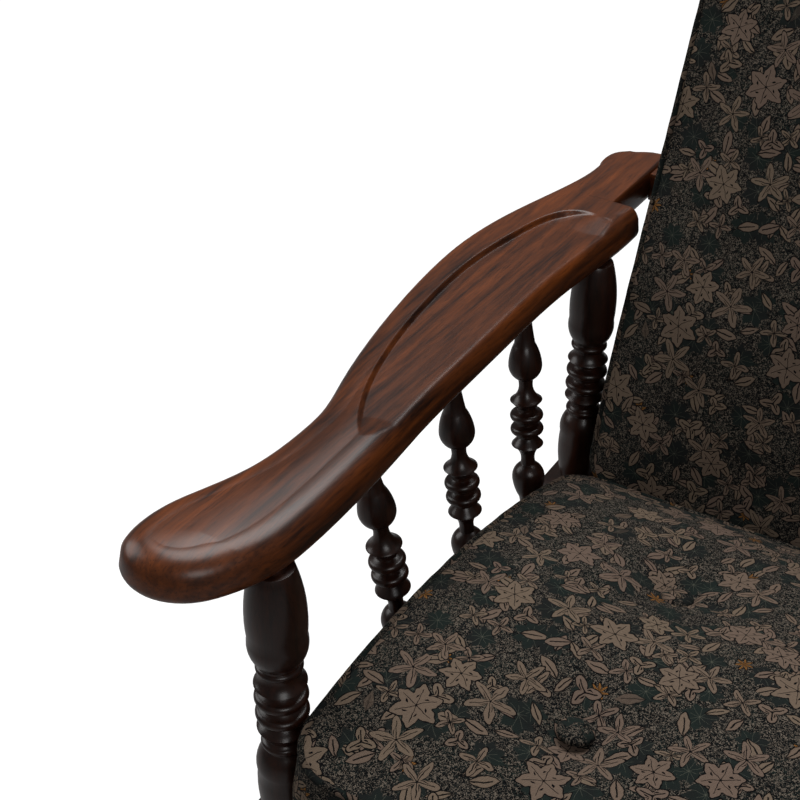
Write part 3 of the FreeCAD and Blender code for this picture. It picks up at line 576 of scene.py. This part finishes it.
def distance_to(points, line):
    """Distance in plan from each point to an open line."""
    best = np.full(len(points), 1e9)
    for start, stop in zip(line[:-1], line[1:]):
        way = stop - start
        share = np.clip(((points - start) @ way) / max(way @ way, 1e-18), 0, 1)
        nearest = start + share[:, None] * way
        best = np.minimum(best, np.linalg.norm(points - nearest, axis=1))
    return best


OUTLINE_STEP = 1.3 * MM
MIDDLE_ROWS = 160
MIDDLE_FRONT = 36 * MM       # how far inside the arm's ends its middle line stops
MIDDLE_REAR = 16 * MM
MIDDLE_SMOOTH = 15           # rows that the middle line is averaged over
NEAR_MIDDLE = 0.97           # how far in the last ring lies; a cap closes what is left
RIM_ROUND = 19 * MM          # how far the top's rounding reaches in from the rim
MOST_ROUND = 0.85            # and the most of the way to the middle line that it takes
HEEL_ROUND = 4 * MM          # the same at the heel that laps the back post
HEEL_LONG = 109 * MM
HEEL_BLEND = 25              # outline points over which one rounding passes into the other
UNDER_ROUND = 7 * MM
UNDER_STEPS = 6
RIM_HEIGHT = 8.0 * MM        # where the top's rounding meets the underside's
RIM_POWER = 2.3              # how full the top's rounding is; 2 would make it an ellipse
RIM_STEPS = 14
RIM_CROWDING = 1.6           # over 1, its rings lie closer together on the inner side
TOP_STEPS = 30
CROWN = 1.0 * MM
CROWN_BESIDE = 0.8 * MM      # how much of the crown is reached beside the half-moon
CAD_RECESS_DEEP = 3 * MM
RECESS_DEEP = 4.2 * MM
RECESS_WALL = 3.0 * MM
RECESS_FADE = 26 * MM        # nearer than this to its two corners the half-moon grows shallow
PAST_EDGE = 60 * MM          # how far the half-moon's open side is taken, past the arm's edge


def middle_line(outline, front, rear):
    """The point of the arm's middle line that lies abreast of each point of its outline."""
    rows = np.linspace(front + MIDDLE_FRONT, rear - MIDDLE_REAR, MIDDLE_ROWS)
    middles = []
    for row in rows:
        near = outline[np.abs(outline[:, 1] - row) < 2.0 * MM, 0]
        middles.append((near.min() + near.max()) / 2)
    kernel = np.ones(MIDDLE_SMOOTH) / MIDDLE_SMOOTH
    middles = np.convolve(np.pad(middles, MIDDLE_SMOOTH // 2, mode="edge"), kernel, "valid")
    row_of = np.clip(outline[:, 1], rows[0], rows[-1])
    return np.stack([np.interp(row_of, rows, middles), row_of], 1)


def rim_rounding(outline, middle, reach, rear, sign):
    """How far in the top's rounding reaches: tight at the heel's inner side and its end."""
    inner = (outline[:, 0] - middle[:, 0]) * sign < 2 * MM
    heel = (outline[:, 1] > rear - HEEL_LONG) & inner
    rounding = np.where(heel, HEEL_ROUND, RIM_ROUND)
    soften = np.ones(HEEL_BLEND) / HEEL_BLEND
    wrap = HEEL_BLEND // 2
    rounding = np.convolve(np.concatenate([rounding[-wrap:], rounding, rounding[:wrap]]),
                           soften, "valid")
    return np.minimum(rounding, reach * MOST_ROUND)


def arm_rings(reach, rounding, top):
    """Each ring's way in and its height, from under the arm, round its rim and over its top."""
    rings = []
    for share in (1.0, 0.6, 0.3):
        depth = UNDER_ROUND + (reach - UNDER_ROUND) * share * NEAR_MIDDLE
        rings.append((depth, np.zeros(len(reach))))
    for step in range(UNDER_STEPS + 1):
        turn = math.pi / 2 * step / UNDER_STEPS
        depth = np.minimum(UNDER_ROUND, rounding) * (1 - math.sin(turn))
        rings.append((depth, np.full(len(reach), RIM_HEIGHT * (1 - math.cos(turn)))))
    for step in range(1, RIM_STEPS + 1):
        share = 1 - (1 - step / RIM_STEPS) ** RIM_CROWDING
        lift = (1 - (1 - share) ** RIM_POWER) ** (1 / RIM_POWER)
        rings.append((rounding * share,
                      np.full(len(reach), RIM_HEIGHT + (top - RIM_HEIGHT) * lift)))
    for step in range(1, TOP_STEPS + 1):
        share = step / TOP_STEPS * NEAR_MIDDLE
        depth = rounding + (reach - rounding) * share
        rings.append((depth, np.full(len(reach), top) + CROWN * math.sin(share * math.pi / 2)))
    return rings


def carve_half_moon(points, recess, top, sign):
    """Lower the half-moon: flat from its curved wall out to the arm's inner rounding."""
    # its curved side, without its straight side
    spread = np.diff(np.vstack([recess, recess[:1]]), axis=0)
    longest = int(np.argmax(np.linalg.norm(spread, axis=1)))
    arc = np.roll(recess, -(longest + 1), axis=0)
    past_edge = np.array((sign * PAST_EDGE, 0))
    region = np.vstack([arc, arc[-1] - past_edge, arc[0] - past_edge])
    plan = points[:, :2]
    wall = distance_to(plan, arc)
    signed = np.where(inside(plan, region), -wall, wall)
    sunk = smooth_step(RECESS_WALL * 0.5, -RECESS_WALL * 0.5, signed)
    from_corner = np.minimum(np.linalg.norm(plan - arc[0], axis=1),
                             np.linalg.norm(plan - arc[-1], axis=1))
    shallow = 1 - np.minimum(1, from_corner / RECESS_FADE)
    level = top + CROWN_BESIDE - RECESS_DEEP + shallow * (RECESS_DEEP * 0.9)
    cut = np.minimum(points[:, 2], level)
    upper = points[:, 2] > RIM_HEIGHT
    points[:, 2] = np.where(upper, points[:, 2] + (cut - points[:, 2]) * sunk, points[:, 2])


def arm(side):
    """The arm as carved: bullnosed rim, crowned top, and a flat half-moon let into it."""
    node = NODES[f"arm_{side}"]
    low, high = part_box(f"arm_{side}")
    sign = -1 if side == "left" else 1
    outline = evenly(flat_loops(node.data, low.z, -1)[0], OUTLINE_STEP)
    recess = flat_loops(node.data, high.z - CAD_RECESS_DEEP, 1)[0]
    middle = middle_line(outline, low.y, high.y)
    reach = np.linalg.norm(middle - outline, axis=1)
    rounding = rim_rounding(outline, middle, reach, high.y, sign)
    top = high.z - low.z - CROWN
    inward = (middle - outline) / reach[:, None]
    layers = [np.column_stack([outline + inward * depth[:, None], height])
              for depth, height in arm_rings(reach, rounding, top)]
    points = np.vstack(layers)
    carve_half_moon(points, recess, top, sign)
    points[:, 2] += low.z
    mesh = mesh_from(f"arm_carved_{side}", points, faces_between(len(layers), len(outline)))
    edit = bmesh.new()
    edit.from_mesh(mesh)
    rims = [edge for edge in edit.edges if edge.is_boundary]
    filled = bmesh.ops.holes_fill(edit, edges=rims, sides=0)["faces"]
    bmesh.ops.triangulate(edit, faces=filled)
    bmesh.ops.recalc_face_normals(edit, faces=edit.faces)
    edit.to_mesh(mesh)
    edit.free()
    piece(f"arm_carved_{side}", mesh, STAINED["y"], "stained_wood", f"arm_{side}")


for side in SIDES:
    arm(side)


# ---- The other wooden pieces and the bolts ----------------------------------------------------


def eased(name, material, slot_name, width, segments=2, sharp=32):
    """A CAD piece with its arrises eased, as sanding leaves them."""
    made = piece(f"{name}_eased", NODES[name].data.copy(), material, slot_name, name)
    merge_points(made.data, 2e-6)
    if made.data.has_custom_normals:
        with bpy.context.temp_override(object=made, active_object=made):
            bpy.ops.mesh.customdata_custom_splitnormals_clear()
    for polygon in made.data.polygons:
        polygon.use_smooth = True
    bevel = made.modifiers.new("ease", "BEVEL")
    bevel.width = width
    bevel.segments = segments
    bevel.limit_method = "ANGLE"
    bevel.angle_limit = math.radians(sharp)
    bevel.harden_normals = False
    bevel.use_clamp_overlap = True
    applied(made)
    with bpy.context.temp_override(object=made, active_object=made, selected_objects=[made],
                                   selected_editable_objects=[made]):
        bpy.ops.object.shade_smooth_by_angle(angle=math.radians(34))


for side in SIDES:
    for end in ("front", "rear"):
        eased(f"{end}_leg_{side}", TURNED["z"], "stained_wood", 0.5 * MM)
    for index in (1, 2, 3):
        eased(f"arm_spindle_{side}_{index}", TURNED["z"], "turned_wood", 0.25 * MM)
    eased(f"runner_{side}", STAINED["y"], "stained_wood", 3.0 * MM, 4)
    eased(f"side_rail_{side}", STAINED["y"], "stained_wood", 2.0 * MM, 3)
    eased(f"side_stretcher_{side}", TURNED["y"], "stained_wood", 0.4 * MM)
    eased(f"back_post_{side}", STAINED["z"], "stained_wood", 3.0 * MM, 3)
    eased(f"finial_{side}", TURNED["z"], "stained_wood", 0.3 * MM)
    eased(f"arm_block_{side}", STAINED["x"], "stained_wood", 1.0 * MM)
    eased(f"seat_ledger_{side}", PLAIN["y"], "frame_wood", 1.0 * MM)
    eased(f"corner_brace_{side}", PLAIN["x"], "frame_wood", 1.0 * MM)
    eased(f"arm_bolt_{side}", STEEL, "bolt_steel", 0.8 * MM, 3)
    eased(f"back_foot_bolt_{side}", STEEL, "bolt_steel", 0.8 * MM, 3)
for end in ("front", "rear"):
    eased(f"{end}_rail", STAINED["x"], "stained_wood", 2.0 * MM, 3)
    eased(f"{end}_stretcher", TURNED["x"], "stained_wood", 0.4 * MM)
for name in ("crest_rail", "lower_back_rail"):
    eased(name, STAINED["x"], "stained_wood", 2.5 * MM, 3)
for index in range(1, 6):
    eased(f"seat_slat_{index}", PLAIN["x"], "frame_wood", 1.5 * MM)
    eased(f"back_slat_{index}", STAINED["z"], "stained_wood", 2.0 * MM, 3)


# ---- Cushions ---------------------------------------------------------------------------------

RECLINE = math.radians(22)
SEAT_PITCH = math.radians(7)


def local_box(node, turn):
    """A CAD solid's box in axes turned about X by an angle, and the turn itself."""
    spin = Matrix.Rotation(turn, 4, "X")
    back = np.array(spin.inverted().to_3x3())
    points = np.array([vertex.co for vertex in NODES[node].data.vertices]) @ back.T
    return points.min(0), points.max(0), spin


PLAN_ROUND = 30 * MM         # how far a cushion's corners round off, seen square on
COVER_STEP = 8 * MM          # the cover's squares, before they are divided
SEAM_HELD = 0.985            # beyond this share of the corner rounding the cloth is held
BUTTON_HELD = 9 * MM         # and this near a button
AIR_FRAMES = 20
AIR_PRESSURE = 4.0
TUFT_DEEP = 19 * MM
TUFT_WIDE = 34 * MM
RUMPLE = 2.4 * MM            # how far the noise lifts or lowers the cloth
PULL_HIGH = 0.9 * MM         # the short pulls along the seams
PULL_WIDE = 16 * MM
FOLD_HIGH = 2.6 * MM         # the folds that run out of each tuft
FOLD_WIDE = 50 * MM
SEAM_THICK = 2.4 * MM        # radius of the stitched fold
SEAM_STEP = 5 * MM
SEAM_INSET = 1.6 * MM        # how far it stands inside the cushion's edge and its panel
SEAM_SUNK = 1.2 * MM
SEAM_SIDES = 10
BUTTON_RADIUS = 11 * MM
BUTTON_DOME = 4.5 * MM
BUTTON_SUNK = 4 * MM         # below the middle of the CAD buttons
BUTTON_RINGS = 8
BUTTON_SIDES = 28


def past_corner(co, half):
    """How far each point lies past the corner circles' centres, by axis and in all."""
    excess = np.maximum(np.abs(co[:, :2]) - (np.array(half[:2]) - PLAN_ROUND), 0)
    return excess, np.linalg.norm(excess, axis=1)


def panel_grid(half, crown, dome, bend, tufts, swell):
    """A boxed cushion before it is filled: crowned panels, full sides, pulled-in tufts."""
    counts = [max(6, int(round(2 * side / COVER_STEP))) for side in half]
    axes = [np.linspace(-side, side, count + 1) for side, count in zip(half, counts)]
    keep = {}
    points = []
    faces = []

    def vertex(spot):
        if spot not in keep:
            keep[spot] = len(points)
            points.append(tuple(axes[axis][spot[axis]] for axis in range(3)))
        return keep[spot]

    for fixed, (first, second) in ((2, (0, 1)), (1, (0, 2)), (0, (1, 2))):
        for level in (0, counts[fixed]):
            for a in range(counts[first]):
                for b in range(counts[second]):
                    corners = []
                    for da, db in ((0, 0), (1, 0), (1, 1), (0, 1)):
                        spot = [0, 0, 0]
                        spot[fixed] = level
                        spot[first] = a + da
                        spot[second] = b + db
                        corners.append(vertex(tuple(spot)))
                    faces.append(corners)
    co = np.array(points)
    level = co[:, 2] / half[2]
    excess, both = past_corner(co, half)
    over = np.where((both > PLAN_ROUND) & (excess.min(1) > 0),
                    PLAN_ROUND / np.maximum(both, 1e-9), 1.0)
    for axis in (0, 1):
        base = np.minimum(np.abs(co[:, axis]), half[axis] - PLAN_ROUND)
        co[:, axis] = np.sign(co[:, axis]) * (base + excess[:, axis] * over)
    excess, both = past_corner(co, half)
    # the whole top follows a long arc from front to back, then each panel domes a little
    arc = crown * (1 - np.clip(np.abs(co[:, 1]) / half[1], 0, 1) ** 2)
    co[:, 2] += arc * (level + 1) / 2
    share = [1 - np.clip(np.abs(co[:, axis]) / half[axis], 0, 1) ** 3.2 for axis in (0, 1)]
    swelling = dome * (share[0] * share[1]) ** 0.5
    co[:, 2] += np.where(level > 0.999, swelling, 0)
    # the lower end of a leaning cushion bends back a little
    sag = np.clip((-co[:, 1] / half[1] - 0.5) / 0.5, 0, 1) ** 2 * bend
    co[:, 2] -= sag * (level + 1) / 2
    # sides belly out between their seams
    outward = excess / np.maximum(both, 1e-9)[:, None] * np.sign(co[:, :2])
    rimmed = both > PLAN_ROUND * 0.97
    belly = (1 - np.abs(level) ** 2.6) * swell
    co[:, :2] += np.where(rimmed[:, None], outward * belly[:, None], 0)
    for x, y in tufts:
        far = np.hypot(co[:, 0] - x, co[:, 1] - y)
        co[:, 2] -= np.where(level > 0.999, TUFT_DEEP * np.exp(-(far / TUFT_WIDE) ** 1.4), 0)
    return co, faces, level


def fill_with_air(thing, pinned, cap):
    """Swell a closed cover with cloth physics, seams held and no point moved past the cap."""
    start = np.array([vertex.co for vertex in thing.data.vertices])
    group = thing.vertex_groups.new(name="seams")
    for index in np.nonzero(pinned)[0]:
        group.add([int(index)], 1.0, "REPLACE")
    cloth = thing.modifiers.new("fill", "CLOTH")
    settings = cloth.settings
    settings.quality = 4
    settings.use_pressure = True
    settings.uniform_pressure_force = AIR_PRESSURE
    settings.effector_weights.gravity = 0
    settings.vertex_group_mass = "seams"
    settings.tension_stiffness = 12
    settings.compression_stiffness = 12
    settings.bending_stiffness = 0.8
    cloth.point_cache.frame_start = 1
    cloth.point_cache.frame_end = AIR_FRAMES
    for number in range(1, AIR_FRAMES + 1):
        bpy.context.scene.frame_set(number)
    graph = bpy.context.evaluated_depsgraph_get()
    swollen = thing.evaluated_get(graph).to_mesh()
    ended = np.array([vertex.co for vertex in swollen.vertices])
    thing.evaluated_get(graph).to_mesh_clear()
    moved = ended - start
    length = np.linalg.norm(moved, axis=1)
    limit = np.minimum(1.0, cap / np.maximum(length, 1e-9))
    thing.modifiers.clear()
    thing.vertex_groups.clear()
    bpy.context.scene.frame_set(1)
    result = start + moved * limit[:, None]
    thing.data.vertices.foreach_set("co", result.ravel())
    thing.data.update()


def cushion(name, node, turn, up, half, centre, crown, dome, bend, tufts, cap, swell):
    """One boxed cushion: its cover, air, puckers and folds."""
    co, faces, level = panel_grid(half, crown, dome, bend, tufts, swell)
    mesh = mesh_from(name, co, faces)
    edit = bmesh.new()
    edit.from_mesh(mesh)
    bmesh.ops.recalc_face_normals(edit, faces=edit.faces)
    edit.to_mesh(mesh)
    edit.free()
    made = bpy.data.objects.new(name, mesh)
    bpy.context.scene.collection.objects.link(made)
    _, both = past_corner(co, half)
    panel = np.abs(np.abs(level) - 1) < 1e-6
    held = panel & (both > PLAN_ROUND * SEAM_HELD)
    for x, y in tufts:
        held |= (np.hypot(co[:, 0] - x, co[:, 1] - y) < BUTTON_HELD) & (level > 0.999)
    fill_with_air(made, held, cap)
    points = np.array([vertex.co for vertex in made.data.vertices])
    normals = np.array([vertex.normal for vertex in made.data.vertices])
    slack = np.array([fractal(Vector(spot) * 13 + Vector((half[1] * 40, 0, 0)), 0.8, 2.1, 3)
                      for spot in co])
    points += normals * (slack * RUMPLE * ~held)[:, None]
    # short pulls along the seams, and folds that run out of each tuft
    inset = np.min(np.array(half[:2]) - np.abs(co[:, :2]), axis=1)
    along_seam = co[:, 0] + co[:, 1]
    pull = np.sin(along_seam * 170 + slack * 9) * np.exp(-inset / PULL_WIDE)
    points[:, 2] += np.where((level > 0.999) & ~held, pull * PULL_HIGH, 0)
    for x, y in tufts:
        away = points[:, :2] - np.array((x, y))
        far = np.hypot(away[:, 0], away[:, 1])
        angle = np.arctan2(away[:, 1], away[:, 0])
        reach = np.exp(-(far / FOLD_WIDE) ** 2) * smooth_step(5 * MM, 22 * MM, far)
        fold = np.cos(angle * 6 + x * 40 + y * 25) * reach
        points[:, 2] += np.where(level > 0.999, fold * FOLD_HIGH, 0)
    made.data.vertices.foreach_set("co", points.ravel())
    cloth_map = made.data.uv_layers.new(name="cloth")
    for polygon in made.data.polygons:
        corners = list(polygon.vertices)
        middle = co[corners].mean(0)
        sideways = abs(middle[0]) / half[0] > abs(middle[1]) / half[1]
        for loop in polygon.loop_indices:
            x, y, z = co[made.data.loops[loop].vertex_index]
            drop = half[2] - z
            if panel[corners].all():
                place = (x, y) if middle[2] > 0 else (x + 0.7, y)
            elif sideways:
                place = (x + math.copysign(drop, x) + 0.013, y + 0.021)
            else:
                place = (x + 0.017, y + math.copysign(drop, y) + 0.011)
            cloth_map.data[loop].uv = place
    whole = Matrix.Rotation(turn, 4, "X") @ Matrix.Translation(centre) @ up
    made.data.transform(whole)
    made.data.materials.append(CLOTH)
    divide = made.modifiers.new("divide", "SUBSURF")
    divide.levels = divide.render_levels = 1
    applied(made)
    for polygon in made.data.polygons:
        polygon.use_smooth = True
    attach(made, "root")
    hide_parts(node)
    return whole


def rounded_outline(half, radius, step):
    """The plan outline of a boxed cushion as a closed run of points."""
    corners = []
    for sx, sy, start in ((1, -1, -90), (1, 1, 0), (-1, 1, 90), (-1, -1, 180)):
        centre = np.array((sx * (half[0] - radius), sy * (half[1] - radius)))
        for turn in range(0, 91, 9):
            angle = math.radians(start + turn)
            corners.append(centre + radius * np.array((math.cos(angle), math.sin(angle))))
    return evenly(np.array(corners), step)


def seam_fold(name, half, crown, bend, top, place):
    """The stitched fold of cloth that stands along the seam round one panel, in cloth darkened as
    painted shade.
    """
    outline = rounded_outline((half[0] - SEAM_INSET, half[1] - SEAM_INSET), PLAN_ROUND,
                              SEAM_STEP)
    points = []
    faces = []
    map_places = []
    count = len(outline)
    for index, spot in enumerate(outline):
        ahead = outline[(index + 1) % count] - outline[index - 1]
        ahead = ahead / np.linalg.norm(ahead)
        out = np.array((ahead[1], -ahead[0]))
        height = -half[2] + SEAM_SUNK
        if top:
            height = half[2] + crown * max(0, 1 - (abs(spot[1]) / half[1]) ** 2) - SEAM_SUNK
            height -= max(0, (-spot[1] / half[1] - 0.5) / 0.5) ** 2 * bend
        bumpy = noise(Vector((spot[0] * 90, spot[1] * 90, height * 50)))
        thick = SEAM_THICK * (1 + 0.12 * bumpy)
        for turn in range(SEAM_SIDES):
            angle = math.tau * turn / SEAM_SIDES
            shift = out * math.cos(angle) * thick
            points.append((spot[0] + shift[0], spot[1] + shift[1],
                           height + math.sin(angle) * thick))
            map_places.append((index * SEAM_STEP, turn / SEAM_SIDES * SEAM_THICK * 6))
    for index in range(count):
        after = (index + 1) % count
        for turn in range(SEAM_SIDES):
            beside = (turn + 1) % SEAM_SIDES
            faces.append((index * SEAM_SIDES + turn, after * SEAM_SIDES + turn,
                          after * SEAM_SIDES + beside, index * SEAM_SIDES + beside))
    mesh = mesh_from(name, points, faces)
    cloth_map = mesh.uv_layers.new(name="cloth")
    for loop in mesh.loops:
        cloth_map.data[loop.index].uv = map_places[loop.vertex_index]
    mesh.transform(place)
    # the darker cloth here is painted shade along the seam
    piece(name, mesh, SHADED_PIPING, "floral_fabric")


def seat_cushion():
    """The seat cushion, sized from the box of its CAD solid and tufted at its buttons."""
    low, high, _ = local_box("seat_cushion", -SEAT_PITCH)
    crown = 30 * MM
    dome = 5 * MM
    half = np.array(((high[0] - low[0]) / 2 - 2.5 * MM, (high[1] - low[1]) / 2 - 3 * MM,
                     (high[2] - low[2] - crown - dome) / 2 - 1.5 * MM))
    centre = Vector(((low[0] + high[0]) / 2, (low[1] + high[1]) / 2, low[2] + half[2] + MM))
    button_low, button_high, _ = local_box("seat_buttons", -SEAT_PITCH)
    rows = (button_low[1] + BUTTON_RADIUS - centre.y, button_high[1] - BUTTON_RADIUS - centre.y)
    column = button_high[0] - BUTTON_RADIUS
    tufts = [(x, y) for x in (-column, column) for y in rows]
    place = cushion("seat_cushion_cover", "seat_cushion", turn=-SEAT_PITCH,
                    up=Matrix.Identity(4), half=half, centre=centre, crown=crown, dome=dome,
                    bend=0.0, tufts=tufts, cap=5 * MM, swell=2 * MM)
    seam_fold("seat_seam_top", half, crown, bend=0.0, top=True, place=place)
    seam_fold("seat_seam_low", half, crown, bend=0.0, top=False, place=place)


def back_cushion():
    """The back cushion, which stands up: its panels face forwards and backwards."""
    low, high, _ = local_box("back_cushion", -RECLINE)
    stand = Matrix.Rotation(math.radians(90), 4, "X")
    dome = 9 * MM
    bend = 12 * MM
    half = np.array(((high[0] - low[0]) / 2 - 4 * MM, (high[2] - low[2]) / 2 - 3 * MM,
                     (high[1] - low[1] - dome) / 2 - 2 * MM))
    centre = Vector(((low[0] + high[0]) / 2, high[1] - half[2] - MM, (low[2] + high[2]) / 2))
    place = cushion("back_cushion_cover", "back_cushion", turn=-RECLINE, up=stand, half=half,
                    centre=centre, crown=0.0, dome=dome, bend=bend, tufts=[], cap=8 * MM,
                    swell=3 * MM)
    seam_fold("back_seam_front", half, crown=0.0, bend=bend, top=True, place=place)
    seam_fold("back_seam_rear", half, crown=0.0, bend=0.0, top=False, place=place)


seat_cushion()
back_cushion()


def covered_buttons():
    """Domed buttons covered in the same cloth, sunk in the tufts."""
    low, high, spin = local_box("seat_buttons", -SEAT_PITCH)
    points = []
    faces = []
    base_z = (low[2] + high[2]) / 2 - BUTTON_SUNK
    for x in (low[0] + BUTTON_RADIUS, high[0] - BUTTON_RADIUS):
        for y in (low[1] + BUTTON_RADIUS, high[1] - BUTTON_RADIUS):
            faces += faces_between(BUTTON_RINGS + 1, BUTTON_SIDES, start=len(points))
            for ring in range(BUTTON_RINGS + 1):
                turn = math.pi * ring / BUTTON_RINGS
                wide = BUTTON_RADIUS * math.sin(turn) ** 0.8
                for step in range(BUTTON_SIDES):
                    angle = math.tau * step / BUTTON_SIDES
                    points.append((x + wide * math.cos(angle), y + wide * math.sin(angle),
                                   base_z - BUTTON_DOME * math.cos(turn)))
    mesh = mesh_from("covered_buttons", points, faces)
    merge_points(mesh, 1e-6)
    cloth_map = mesh.uv_layers.new(name="cloth")
    for loop in mesh.loops:
        co = mesh.vertices[loop.vertex_index].co
        cloth_map.data[loop.index].uv = (co.x + 0.3, co.y)
    mesh.transform(spin)
    piece("covered_buttons", mesh, CLOTH, "floral_fabric", "seat_buttons")


covered_buttons()
